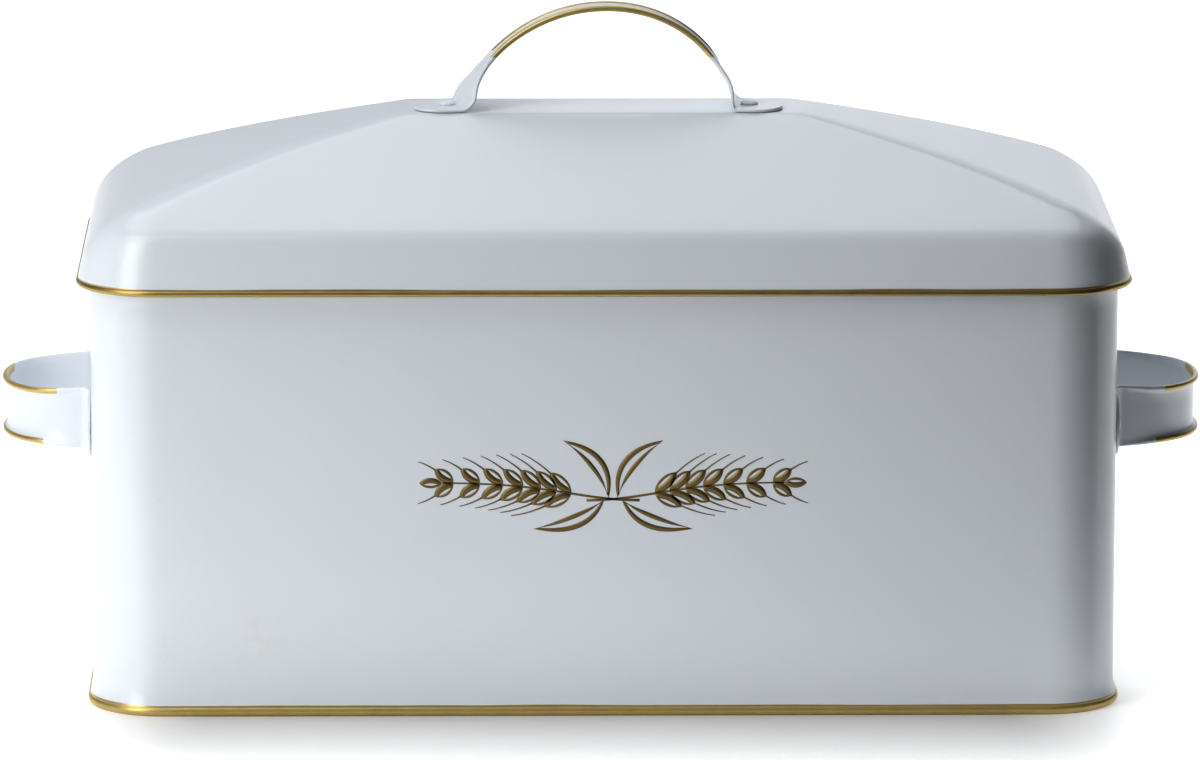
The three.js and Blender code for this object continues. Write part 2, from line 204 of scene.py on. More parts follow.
def enamel(name, gold_mask=None, stains=()):
    """White powder-coat enamel. gold_mask(tree, place) says where gold paint goes over it, and a stain
    is (centre, radius)."""
    material, tree, place, surface = new_material(name)
    colour = mix_colour(tree, noise_at(tree, place, 25, 3), WHITE, WHITE_SHADE)
    speck = ramp(tree, noise_at(tree, place, 420, 2), 0.72, 0.78)
    colour = mix_colour(tree, calc(tree, "MULTIPLY", speck, 0.25), colour, STAIN)
    for centre, radius in stains:
        off = add_node(tree, "ShaderNodeVectorMath", {"operation": "DISTANCE"}, _0=place, _1=centre)
        near = calc(tree, "SUBTRACT", 1.0, ramp(tree, off.outputs["Value"], 0.0, radius))
        patchy = ramp(tree, noise_at(tree, place, 260, 5), 0.42, 0.62)
        mark = calc(tree, "MULTIPLY", calc(tree, "MULTIPLY", near, patchy), 0.22)
        colour = mix_colour(tree, mark, colour, STAIN)
    peel = noise_at(tree, place, 380, 2)
    sheet_wave = noise_at(tree, place, 22, 1)
    height = calc(tree, "ADD", calc(tree, "MULTIPLY", peel, 0.02), calc(tree, "MULTIPLY", sheet_wave, 0.6))
    roughness = mix_value(tree, noise_at(tree, place, 60, 3), 0.26, 0.34)
    metallic = 0.0
    if gold_mask is not None:
        painted = gold_mask(tree, place)
        colour = mix_colour(tree, painted, colour, gold_colour(tree, place))
        roughness = mix_value(tree, painted, roughness, 0.36)
        metallic = calc(tree, "MULTIPLY", painted, GOLD_METAL)
        height = calc(tree, "ADD", height, calc(tree, "MULTIPLY", painted, 0.03))
    bump = add_node(tree, "ShaderNodeBump", Strength=0.5, Distance=1 * MM, Height=height)
    connect(tree, surface, Base_Color=colour, Roughness=roughness, Metallic=metallic,
            Normal=bump.outputs[0], Specular_IOR_Level=0.5, Coat_Weight=0.25, Coat_Roughness=0.12)
    return material


def gold_paint(name, metal, depth):
    """The beads' gold. depth darkens it towards bronze, from 0 to 1; that darkening is painted shade, not a
    darker paint.
    """
    material, tree, place, surface = new_material(name)
    brushed = noise_at(tree, place, 90, 4, stretch=(1, 1, 6))
    nick = ramp(tree, noise_at(tree, place, 230, 3), 0.70, 0.74)
    colour = mix_colour(tree, nick, gold_colour(tree, place), GOLD_DEEP)
    # depth mixes the gold towards bronze: painted shade, standing in for a dark reflection
    colour = mix_colour(tree, depth, colour, BRONZE)
    roughness = mix_value(tree, noise_at(tree, place, 110, 3), 0.30, 0.45)
    bump = add_node(tree, "ShaderNodeBump", Strength=0.4, Distance=0.1 * MM, Height=brushed)
    connect(tree, surface, Base_Color=colour, Metallic=metal, Roughness=roughness, Normal=bump.outputs[0])
    return material


def motif_paint(name):
    """The printed motif: the same gold, laid on thin and dark."""
    material, tree, place, surface = new_material(name)
    colour = mix_colour(tree, noise_at(tree, place, 140, 3), BRONZE, GOLD_DEEP)
    dark = mix_colour(tree, 0.78, colour, BRONZE)
    bump = add_node(tree, "ShaderNodeBump", Strength=0.3, Distance=0.05 * MM,
                    Height=noise_at(tree, place, 600, 2))
    connect(tree, surface, Base_Color=dark, Metallic=0.55, Roughness=0.38, Normal=bump.outputs[0])
    return material


def bare_steel(name):
    """Zinc-plated steel, rolled and a little streaky."""
    material, tree, place, surface = new_material(name)
    streak = noise_at(tree, place, 300, 3)
    tone = mix_colour(tree, streak, (0.40, 0.40, 0.41, 1), (0.56, 0.56, 0.57, 1))
    roughness = mix_value(tree, streak, 0.28, 0.45)
    bump = add_node(tree, "ShaderNodeBump", Strength=0.3, Distance=0.05 * MM, Height=streak)
    connect(tree, surface, Base_Color=tone, Metallic=1.0, Roughness=roughness, Normal=bump.outputs[0])
    return material


def wavering(tree, place, size):
    """A hand-painted line's wandering, plus or minus size."""
    slow = calc(tree, "SUBTRACT", noise_at(tree, place, 14, 2), 0.5)
    return calc(tree, "MULTIPLY", slow, 4 * size)


def gold_below(height, wander, edge=0.12 * MM):
    """Gold paint that has run over the enamel up to a wavering height."""

    def mask(tree, place):
        z = add_node(tree, "ShaderNodeSeparateXYZ", Vector=place).outputs[2]
        shifted = calc(tree, "ADD", z, wavering(tree, place, wander))
        return calc(tree, "SUBTRACT", 1.0, ramp(tree, shifted, height - edge, height + edge))

    return mask


def near_edge(tree, place, width):
    """Within a ragged width, in mm, of a strap's rolled edge."""
    edge = add_node(tree, "ShaderNodeAttribute", {"attribute_name": "edge"}).outputs["Fac"]
    ragged = calc(tree, "ADD", edge, wavering(tree, place, 0.06))
    return calc(tree, "SUBTRACT", 1.0, ramp(tree, ragged, width - 0.08, width + 0.08))


def gold_on_arch(tree, place):
    """Gold on the top handle's edges, down to where its legs begin."""
    z = add_node(tree, "ShaderNodeSeparateXYZ", Vector=place).outputs[2]
    start = TOP_Z + 18 * MM
    high = ramp(tree, calc(tree, "ADD", z, wavering(tree, place, 0.5 * MM)), start, start + 0.6 * MM)
    return calc(tree, "MULTIPLY", high, near_edge(tree, place, 1.9))


def gold_on_loop(upper, lower):
    """Gold on a side handle's upper and lower edge, from these distances out along the front. Along the
    rear only the tip is painted."""

    def mask(tree, place):
        axes = add_node(tree, "ShaderNodeSeparateXYZ", Vector=place).outputs
        front = mix_value(tree, ramp(tree, axes[2], SIDE_Z - MM, SIDE_Z + MM), lower, upper)
        rear = SIDE_REACH - 3.5 * MM
        start = mix_value(tree, ramp(tree, axes[1], -2 * MM, 2 * MM), front, rear)
        out = calc(tree, "ADD", calc(tree, "ABSOLUTE", axes[0]), wavering(tree, place, 0.5 * MM))
        painted = ramp(tree, calc(tree, "SUBTRACT", out, start), -0.3 * MM, 0.3 * MM)
        return calc(tree, "MULTIPLY", painted, near_edge(tree, place, 2.0))

    return mask


# ---- Mesh building ----


def build(name, points, faces, material, body, slot, nodes=(), edge=None):
    mesh = bpy.data.meshes.new(name)
    mesh.from_pydata([tuple(p) for p in points], [], faces)
    mesh.validate()
    mesh.shade_smooth()
    if edge is not None:
        layer = mesh.attributes.new("edge", "FLOAT", "POINT")
        layer.data.foreach_set("value", edge)
    mesh.materials.append(material)
    made = bpy.data.objects.new(name, mesh)
    bpy.context.scene.collection.objects.link(made)
    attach(made, body)
    if nodes:
        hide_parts(*nodes)
    return made


def skin(rings, closed):
    """Faces over a stack of equal rings. A closed stack joins up; an open one has its end rings capped."""
    count = len(rings[0])
    faces = []
    for r in range(len(rings) if closed else len(rings) - 1):
        low = r * count
        high = (r + 1) % len(rings) * count
        for i in range(count):
            j = (i + 1) % count
            faces.append((low + i, low + j, high + j, high + i))
    if not closed:
        last = (len(rings) - 1) * count
        faces.append(tuple(reversed(range(count))))
        faces.append(tuple(range(last, last + count)))
    return faces


def rounded_ring(half_x, half_y, corner, z, steps=14, runs=16):
    """A rounded rectangle, counter-clockwise from above, its sides cut into short runs."""
    points = []
    for quarter, (sx, sy) in enumerate(((1, 1), (-1, 1), (-1, -1), (1, -1))):
        centre = Vector((sx * (half_x - corner), sy * (half_y - corner), z))
        for i in range(steps + 1):
            angle = (quarter + i / steps) * math.pi / 2
            points.append(centre + corner * Vector((math.cos(angle), math.sin(angle), 0)))
    arc = steps + 1
    ring = []
    for quarter in range(4):
        ring += points[quarter * arc : (quarter + 1) * arc]
        start, end = ring[-1], points[(quarter + 1) * arc % len(points)]
        ring += [start.lerp(end, i / runs) for i in range(1, runs)]
    return ring


def wall_ring(out, z):
    return rounded_ring(WALL_HALF_X + out, WALL_HALF_Y + out, WALL_CORNER + out, z)


def lid_ring(inside, z):
    return rounded_ring(LID_HALF_X - inside, LID_HALF_Y - inside, LID_CORNER - inside, z)


def loft(rings, name, *details, closed=True):
    """A piece skinned over its rings."""
    points = [p for ring in rings for p in ring]
    return build(name, points, skin(rings, closed), *details)


# ---- Body ----


def wall():
    bottom = BASE_BEAD * 1.2
    curl_z = MOUTH_Z - MOUTH_CURL
    curl_out = MOUTH_CURL - SHEET / 2
    flare = [(FLARE * (1 - i / 6) ** 2, mix(bottom, FLARE_Z, i / 6)) for i in range(7)]
    heights = [mix(FLARE_Z, curl_z - MOUTH_CURL, i / 10) for i in range(1, 11)]
    rings = [wall_ring(out, z) for out, z in flare]
    rings += [wall_ring(0, z) for z in heights]
    for i in range(15):
        angle = mix(-0.36, 1, i / 14) * math.pi
        rings.append(wall_ring(curl_out + MOUTH_CURL * math.cos(angle),
                               curl_z + MOUTH_CURL * math.sin(angle)))
    rings += [wall_ring(-SHEET, z) for z in reversed(heights)]
    rings += [wall_ring(out - SHEET, z) for out, z in reversed(flare)]
    front = -WALL_HALF_Y
    stains = [((-117 * MM, front, 27 * MM), 13 * MM), ((-150 * MM, front + 2 * MM, 22 * MM), 9 * MM)]
    paint = enamel("wall_enamel", gold_below(2 * BASE_BEAD + 0.35 * MM, 0.3 * MM), stains)
    return loft(rings, "tub_wall", paint, "body", "white_enamel", ["body_wall"])


def rear_seam():
    """The lock seam up the middle of the back."""
    half_width = 3.2 * MM
    rise = 0.75 * MM
    low, high = FLARE_Z + 2 * MM, MOUTH_Z - 4 * MM
    rings = []
    for i in range(9):
        z = mix(low, high, i / 8)
        ring = []
        for k in range(13):
            across = mix(half_width, -half_width, k / 12)
            lift = smooth((half_width - abs(across)) / (0.7 * MM))
            ring.append(Vector((across, WALL_HALF_Y - SHEET / 4 + lift * rise, z)))
        back = [Vector((p.x, WALL_HALF_Y - SHEET / 2, z)) for p in reversed(ring)]
        rings.append(list(reversed(ring + back)))
    return loft(rings, "rear_seam", enamel("seam_enamel"), "body", "white_enamel", closed=False)


def floor_pan():
    edge = pan_high.x - WALL_HALF_X
    inner = edge - SHEET
    step, run, rise = -14 * MM, 4 * MM, 1.6 * MM
    low = pan_low.z
    turn = 1 * MM
    press = [(step - run * i / 6, rise * smooth(i / 6)) for i in range(7)]
    bottom = [(out, low + lift) for out, lift in reversed(press)]
    top = [(out, low + SHEET + lift) for out, lift in press]
    corner = [(edge - turn * (1 - math.sin(a)), low + turn * (1 - math.cos(a)))
              for a in (k * math.pi / 8 for k in range(5))]
    inside = [(inner - turn * (1 - math.cos(a)), low + SHEET + turn * (1 - math.sin(a)))
              for a in (k * math.pi / 8 for k in range(5))]
    lip = [(edge, pan_high.z), (inner, pan_high.z)]
    levels = bottom + corner + lip + inside + top
    centre = [0.75, 0.4, 0.1]
    rings = [wall_ring(out, z) for out, z in levels]

    def shrunk(ring, share):
        return [Vector((p.x * share, p.y * share, p.z)) for p in ring]

    rings = [shrunk(rings[0], s) for s in reversed(centre)] + rings + [shrunk(rings[-1], s) for s in centre]
    return loft(rings, "floor_sheet", enamel("floor_enamel"), "body", "white_enamel",
                     ["floor_pan"], closed=False)


def base_bead():
    rings = [wall_ring(BASE_CENTRE + BASE_FLAT, 0)]
    for i in range(17):
        angle = mix(-0.22, 1.22, i / 16) * math.pi
        rings.append(wall_ring(BASE_CENTRE + BASE_BEAD * math.cos(angle),
                               BASE_BEAD * (1 + math.sin(angle))))
    rings.append(wall_ring(BASE_CENTRE - BASE_FLAT, 0))
    paint = gold_paint("base_gold", GOLD_METAL, 0.0)
    return loft(rings, "base_bead_gold", paint, "body", "gold_paint", ["base_bead"])


# ---- Lid ----


def lid_levels():
    """(inset in x, inset in y, corner, z) up the lid's outside."""
    foot_in = 0.7 * MM
    lean = math.tan(SKIRT_LEAN)

    def skirt_at(z):
        return foot_in + (z - lid_low.z) * lean

    def front_in(z):
        skirt = skirt_at(z)
        rise = (z - FRONT_TURN_Z) / (TOP_Z - FRONT_TURN_Z)
        slope = mix(skirt_at(FRONT_TURN_Z), LID_HALF_Y - TOP_HALF_Y, rise)
        return (skirt + slope + math.hypot(skirt - slope, FRONT_ROUND)) / 2

    skirt_in = skirt_at(SKIRT_TOP)
    turn_rise = 0.55 * (SHOULDER_Z - SKIRT_TOP)
    turn_in = skirt_in + turn_rise * lean
    levels = []
    for i in range(5):
        inset = mix(foot_in, skirt_in, i / 4)
        levels.append((inset, LID_CORNER - inset, mix(lid_low.z, SKIRT_TOP, i / 4)))
    for i in range(1, 29):
        t = i / 28
        levels.append((
            bend(skirt_in, turn_in, SHOULDER_IN_X, t),
            bend(LID_CORNER - skirt_in, LID_CORNER - turn_in, SHOULDER_CORNER, t),
            bend(SKIRT_TOP, SKIRT_TOP + turn_rise, SHOULDER_Z, t),
        ))
    for i in range(1, 25):
        t = i / 24
        levels.append((
            mix(SHOULDER_IN_X, LID_HALF_X - TOP_HALF_X, t) - SWELL_X * 4 * t * (1 - t),
            mix(SHOULDER_CORNER, TOP_CORNER, t),
            mix(SHOULDER_Z, TOP_Z, t),
        ))
    return [(in_x, front_in(z), corner, z) for in_x, corner, z in levels]


def lid_skin():
    levels = lid_levels()
    tucked = (levels[0][0], levels[0][1], levels[0][2], RIM_Z)
    levels = [tucked] + levels

    def ring(level, thick, drop):
        in_x, in_y, corner, z = level
        return rounded_ring(LID_HALF_X - in_x - thick, LID_HALF_Y - in_y - thick,
                            max(corner - thick, MM), z - drop)

    def share(z):
        return smooth((z - SKIRT_TOP) / (SHOULDER_Z - SKIRT_TOP))

    outside = [ring(level, 0, 0) for level in levels]
    inside = []
    for level in levels:
        s = share(level[3])
        inside.append(ring(level, SHEET * (1 - s), SHEET * 1.1 * s))
    crown = (0.8, 0.5, 0.15)

    def inward(last, ratio):
        return [Vector((p.x * mix(1, ratio, 0.35), p.y * ratio, p.z)) for p in last]

    rings = [inward(inside[-1], r) for r in reversed(crown)] + inside[::-1]
    rings += outside + [inward(outside[-1], r) for r in crown]
    paint = enamel("lid_enamel", gold_below(rim_high.z + 0.25 * MM, 0.35 * MM))
    return loft(rings, "lid_skin", paint, "lid", "white_enamel", ["lid_shell"], closed=False)


def lid_rim():
    rings = []
    steps = 20
    for i in range(steps):
        angle = i / steps * 2 * math.pi
        rings.append(lid_ring(RIM_BEAD * (1 - math.cos(angle)), RIM_Z + RIM_BEAD * math.sin(angle)))
    # The 0.3 darkens the rim's gold: painted shade for the dark reflection along its front
    paint = gold_paint("rim_gold", 0.9, 0.3)
    return loft(rings, "lid_rim_gold", paint, "lid", "gold_paint", ["lid_rim_bead"])


# ---- Handle straps ----


def bezier(points, t):
    while len(points) > 1:
        points = [a.lerp(b, t) for a, b in zip(points, points[1:])]
    return points[0]


def path_points(pieces, flip):
    """Evenly spaced points along a path whose second half mirrors the first."""
    rough = [bezier(piece, i / 60) for piece in pieces for i in range(61)]
    rough += [flip(p) for p in reversed(rough)]
    kept = [rough[0]]
    for p in rough[1:]:
        if (p - kept[-1]).length > 1e-7:
            kept.append(p)
    return kept


def at_distance(points, lengths, distance):
    for a, b, start, end in zip(points, points[1:], lengths, lengths[1:]):
        if distance <= end:
            return a.lerp(b, (distance - start) / (end - start))
    return points[-1]


def strap_section(half, bead, flare, grip):
    """(across, out, share of the way in from the edge) round the strap's section."""
    neck = min(3 * MM, 0.6 * half)
    face = STRAP / 2
    side = [(half - neck, -face)]
    side.append((half - mix(neck, bead, 0.45), mix(-face, flare - bead, 0.25)))
    side.append((half - mix(neck, bead, 0.75), mix(-face, flare - bead, 0.62)))
    arc_end = mix(90, 150, grip)
    for i in range(11):
        angle = math.radians(mix(-90, arc_end, i / 10))
        side.append((half - bead + bead * math.cos(angle), flare + bead * math.sin(angle)))
    reach, lift = side[-1]
    side.append((mix(reach, half - 1.05 * neck, 0.35), mix(lift, face, 0.72)))
    side.append((half - 1.05 * neck, face))
    middle = [(half * share, face) for share in (0.3, 0, -0.3)]
    under = [(half * share, -face) for share in (-0.3, 0, 0.3)]
    section = side + middle + [(-x, y) for x, y in reversed(side)] + under
    return [(x, y, (half - abs(x)) / MM) for x, y in section]


def strap(points, across, foot_half, grip_half, flare, blend_start, blend_end):
    """Rings along a strap with round feet. From blend_start to blend_end off a tip, the flat foot turns
    into the narrower grip with its rolled edges."""
    lengths = [0]
    for a, b in zip(points, points[1:]):
        lengths.append(lengths[-1] + (b - a).length)
    total = lengths[-1]
    distances = [foot_half * (1 - math.cos(i / 9 * math.pi / 2)) + 0.03 * MM for i in range(1, 10)]
    steps = 110
    distances += [mix(foot_half + 0.03 * MM, total / 2, i / steps) for i in range(1, steps + 1)]
    distances += [total - d for d in reversed(distances[:-1])]
    rings, edge = [], []
    for distance in distances:
        from_tip = min(distance, total - distance)
        grip = smooth((from_tip - blend_start) / (blend_end - blend_start))
        reach = min(from_tip, foot_half)
        tip_half = math.sqrt(foot_half**2 - (foot_half - reach) ** 2)
        half = mix(tip_half, grip_half, grip)
        bead = mix(min(STRAP / 2, 0.45 * half), EDGE_BEAD, grip)
        before = at_distance(points, lengths, max(distance - 0.2 * MM, 0))
        after = at_distance(points, lengths, min(distance + 0.2 * MM, total))
        side = across(from_tip, -1 if distance < total / 2 else 1)
        out = (after - before).normalized().cross(side).normalized()
        centre = at_distance(points, lengths, distance)
        ring = []
        for x, y, from_edge in strap_section(half, bead, flare * grip, grip):
            ring.append(centre + side * x + out * y)
            edge.append(from_edge)
        rings.append(ring)
    return rings, edge


def top_handle():
    def at(x, up, y):
        return Vector((TOP_CENTRE_X + x + ARCH_LEAN * up / ARCH_RISE, y, TOP_Z + up))

    foot_up = GAP + STRAP / 2
    leg_up = 6.2 * MM
    bend_x = TOP_RIVET_X - RIVET_HEAD - GAP
    span = ARCH_HALF_SPAN
    bend_foot = at(-bend_x, foot_up, TOP_FOOT_Y)
    leg_foot = at(-span, leg_up, 0.7 * TOP_FOOT_Y)
    pieces = [
        [at(-TOP_FOOT_REACH, foot_up, TOP_TIP_Y), bend_foot],
        [bend_foot, at(-span - 1.7 * MM, foot_up, 0.85 * TOP_FOOT_Y), leg_foot],
        [leg_foot, at(-38.8 * MM, 20 * MM, 0.2 * TOP_FOOT_Y), at(-23 * MM, ARCH_RISE, 0),
         at(0, ARCH_RISE, 0)],
    ]

    def flip(p):
        middle = TOP_CENTRE_X + ARCH_LEAN * (p.z - TOP_Z) / ARCH_RISE
        return Vector((2 * middle - p.x, p.y, p.z))

    def across(from_tip, end):
        """The legs twist a little and the bends at their feet splay."""
        d = from_tip / MM
        twist = math.radians(7.5) * smooth((d - 13) / 8) * (1 - smooth((d - 22) / 16))
        splay = math.radians(8) * smooth((d - 9) / 7) * (1 - smooth((d - 18) / 10))
        turn = twist - end * splay
        return Vector((-math.sin(turn), math.cos(turn), 0))

    rings, edge = strap(path_points(pieces, flip), across, TOP_FOOT_HALF, TOP_GRIP_HALF,
                        flare=0.3 * MM, blend_start=16 * MM, blend_end=46 * MM)
    paint = enamel("top_handle_enamel", gold_on_arch)
    points = [p for ring in rings for p in ring]
    return build("top_strap", points, skin(rings, False), paint, "lid", "white_enamel", ["top_handle"], edge)


def side_handle(sign, label, gold_mask):
    """sign is 1 on the right and -1 on the left, which is the same piece turned half round."""

    def at(out, y):
        return Vector((sign * (WALL_HALF_X + out), sign * y, SIDE_Z))

    foot_out = GAP + STRAP / 2
    loop_out = SIDE_REACH - WALL_HALF_X - SIDE_FLARE - EDGE_BEAD
    arm_out = 5 * MM
    arm_y = SIDE_ARM_HALF - 0.5 * MM
    bend_y = SIDE_ARM_HALF + 6 * MM
    pieces = [
        [at(foot_out, -SIDE_FOOT_REACH), at(foot_out, -bend_y)],
        [at(foot_out, -bend_y), at(foot_out, -SIDE_ARM_HALF), at(arm_out, -arm_y)],
        [at(arm_out, -arm_y), at(loop_out, -0.87 * SIDE_ARM_HALF), at(loop_out, 0)],
    ]
    path = path_points(pieces, lambda p: Vector((p.x, -p.y, p.z)))
    rings, edge = strap(path, lambda from_tip, end: Vector((0, 0, 1)), SIDE_FOOT_HALF, SIDE_GRIP_HALF,
                        flare=SIDE_FLARE, blend_start=17 * MM, blend_end=42 * MM)
    paint = enamel(f"side_handle_{label}_enamel", gold_mask)
    points = [p for ring in rings for p in ring]
    return build(f"side_strap_{label}", points, skin(rings, False), paint, "body", "white_enamel",
                 [f"side_handle_{label}"], edge)


# ---- Rivets and washers ----


def lathe(profile, place, axis, steps=32):
    """A profile of (radius, height) turned about an axis that starts at place."""
    turn = axis.to_track_quat("Z", "X")
    rings = []
    for radius, height in profile:
        rings.append([
            place + turn @ Vector((radius * math.cos(a), radius * math.sin(a), height))
            for a in (i / steps * 2 * math.pi for i in range(steps))
        ])
    return rings


def rivet(name, place, axis, body, node, material):
    shank, head, rise, tail = 1.6 * MM, RIVET_HEAD, 1.3 * MM, 2.6 * MM
    head_base = GAP + STRAP + 0.05 * MM
    tail_top = -(SHEET + GAP + 0.8 * MM + GAP)
    profile = [(0.05 * MM, tail_top - 0.9 * MM), (tail * 0.75, tail_top - 0.88 * MM),
               (tail * 0.95, tail_top - 0.6 * MM), (tail, tail_top - 0.3 * MM), (tail, tail_top),
               (shank, tail_top), (shank, head_base), (head, head_base)]
    for i in range(9):
        angle = i / 8 * math.pi / 2
        profile.append((head * math.cos(angle) + 0.05 * MM * math.sin(angle),
                        head_base + 0.15 * MM + (rise - 0.1 * MM) * math.sin(angle)))
    return loft(lathe(profile, place, axis), name, material, body, "white_enamel", [node], closed=False)


def washer(name, place, axis, body, node, material):
    hole, outer, thick, chamfer = 1.9 * MM, 4.2 * MM, 0.8 * MM, 0.12 * MM
    top = -(SHEET + GAP)
    low = top - thick
    profile = [(hole, low), (outer - chamfer, low), (outer, low + chamfer), (outer, top - chamfer),
               (outer - chamfer, top), (hole, top)]
    return loft(lathe(profile, place, axis), name, material, body, "bare_steel", [node])


def fasteners():
    paint = enamel("rivet_enamel")
    steel = bare_steel("washer_steel")
    for side, label in ((-1, "left"), (1, "right")):
        spot = Vector((TOP_CENTRE_X + side * TOP_RIVET_X, TOP_RIVET_Y, TOP_Z))
        up = Vector((0, 0, 1))
        rivet(f"dome_top_{label}", spot, up, "lid", f"top_rivet_{label}", paint)
        washer(f"ring_top_{label}", spot, up, "lid", f"top_washer_{label}", steel)
        for end, where in ((-1, "front"), (1, "rear")):
            spot = Vector((side * WALL_HALF_X, end * SIDE_RIVET_Y, SIDE_Z))
            outward = Vector((side, 0, 0))
            rivet(f"dome_{label}_{where}", spot, outward, "body", f"side_rivet_{label}_{where}", paint)
            washer(f"ring_{label}_{where}", spot, outward, "body", f"side_washer_{label}_{where}", steel)


# ---- The wheat motif on the front ----

MOTIF_CENTRE_X = 2.6 * MM
MOTIF_CENTRE_Z = 80.1 * MM
MOTIF_LIFT = 0.08 * MM


def motif_point(x, z, lift):
    return Vector((MOTIF_CENTRE_X + x * MM, -WALL_HALF_Y - lift, MOTIF_CENTRE_Z + z * MM))


def pointed_oval(base, tip, width, offset=0.0, shrink=1.0):
    """A closed outline, pointed at both ends, in the motif's plane. shrink shortens it."""
    axis = tip - base
    across = Vector((-axis.y, axis.x)).normalized()
    middle = (base + tip) / 2 + across * offset
    outline = []
    for i in range(24):
        angle = i / 24 * 2 * math.pi
        along = math.cos(angle)
        bulge = math.sin(angle) * (1 - 0.45 * abs(along) ** 3)
        outline.append(middle + axis * 0.5 * shrink * along + across * width / 2 * bulge)
    return outline


def ring_piece(outer, inner, points, faces):
    """A flat band between two outlines, raised off the wall."""
    start = len(points)
    loops = [(outer, 0), (outer, MOTIF_LIFT), (inner, MOTIF_LIFT), (inner, 0)]
    for loop, lift in loops:
        points.extend(motif_point(p.x, p.y, lift) for p in loop)
    count = len(outer)
    for r in range(4):
        low = start + r * count
        high = start + (r + 1) % 4 * count
        for i in range(count):
            j = (i + 1) % count
            faces.append((low + i, low + j, high + j, high + i))


def stroke_piece(line, widths, points, faces):
    """A tapering line through a list of points."""
    start = len(points)
    for i, p in enumerate(line):
        before, after = line[max(i - 1, 0)], line[min(i + 1, len(line) - 1)]
        along = (after - before).normalized()
        across = Vector((-along.y, along.x)) * mix(widths[0], widths[1], i / (len(line) - 1)) / 2
        for corner, lift in ((across, 0), (across, MOTIF_LIFT), (-across, MOTIF_LIFT), (-across, 0)):
            points.append(motif_point(p.x + corner.x, p.y + corner.y, lift))
    for r in range(len(line) - 1):
        low = start + 4 * r
        for i in range(4):
            j = (i + 1) % 4
            faces.append((low + i, low + j, low + 4 + j, low + 4 + i))
    last = start + 4 * (len(line) - 1)
    faces.append((start + 3, start + 2, start + 1, start))
    faces.append((last, last + 1, last + 2, last + 3))


def wheat_ear(side, points, faces):
    """One ear, lying along the stem from the middle out to one side."""
    stem = [Vector((side * x, z)) for x, z in ((-9, -5.5), (12, -5.5), (20, 0.5), (58, 0.5))]
    line = [bezier(stem, i / 24) for i in range(25)]
    stroke_piece(line, (0.9, 0.55), points, faces)
    grains = 7
    for i in range(grains):
        along = 0.42 + 0.54 * i / (grains - 1)
        root = bezier(stem, along)
        ahead = (bezier(stem, min(along + 0.02, 1)) - bezier(stem, along - 0.02)).normalized()
        for turn in (-1, 1):
            length = mix(10.5, 8.2, i / (grains - 1))
            lean = math.radians(34) * turn
            way = Vector((ahead.x * math.cos(lean) - ahead.y * math.sin(lean),
                          ahead.x * math.sin(lean) + ahead.y * math.cos(lean)))
            tip = root + way * length
            outer = pointed_oval(root + way * 0.6, tip, 4.2)
            inner = pointed_oval(root + way * 0.6, tip, 0.9, 0.7 * turn, 0.62)
            ring_piece(outer, inner, points, faces)
            reach = mix(10.5, 5.5, i / (grains - 1))
            awn = [tip - way * 0.3, tip + way * reach * 0.6, tip + way * reach * 0.85 + ahead * reach * 0.3]
            stroke_piece([bezier(awn, k / 8) for k in range(9)], (0.6, 0.3), points, faces)
    end = bezier(stem, 1)
    outer = pointed_oval(end, end + Vector((side * 7.5, 0)), 3.6)
    inner = pointed_oval(end, end + Vector((side * 7.5, 0)), 0.8, 0.5, 0.6)
    ring_piece(outer, inner, points, faces)


def wheat_leaf(base, control, tip, width, points, faces):
    """A long leaf, half of it solid and half an outline."""
    spine = [bezier([base, control, tip], i / 16) for i in range(17)]
    outline = []
    for turn in (1, -1):
        run = spine[:-1] if turn > 0 else spine[:0:-1]
        for p in run:
            i = spine.index(p)
            before, after = spine[max(i - 1, 0)], spine[min(i + 1, 16)]
            along = (after - before).normalized()
            outline.append(p + Vector((-along.y, along.x)) * turn * width / 2 * math.sin(i / 16 * math.pi))
    centre = sum(outline, Vector((0, 0))) / len(outline)
    slim = []
    for i, p in enumerate(outline):
        spine_i = i if i < 16 else 32 - i
        middle = spine[spine_i]
        slim.append(middle.lerp(p, 0.4).lerp(centre, 0.12))
    ring_piece(outline, slim, points, faces)


def motif():
    points, faces = [], []
    for side in (-1, 1):
        wheat_ear(side, points, faces)
        wheat_leaf(Vector((side * 3, -5.4)), Vector((side * 10, -15)), Vector((side * 27, -15.4)), 5.2,
                   points, faces)
        wheat_leaf(Vector((side * 1.5, -4.6)), Vector((side * 2, 9)), Vector((side * 17, 15.2)), 5.2,
                   points, faces)
    return build("wheat_motif", points, faces, motif_paint("motif_gold"), "body", "gold_paint")


# ---- The studio ----


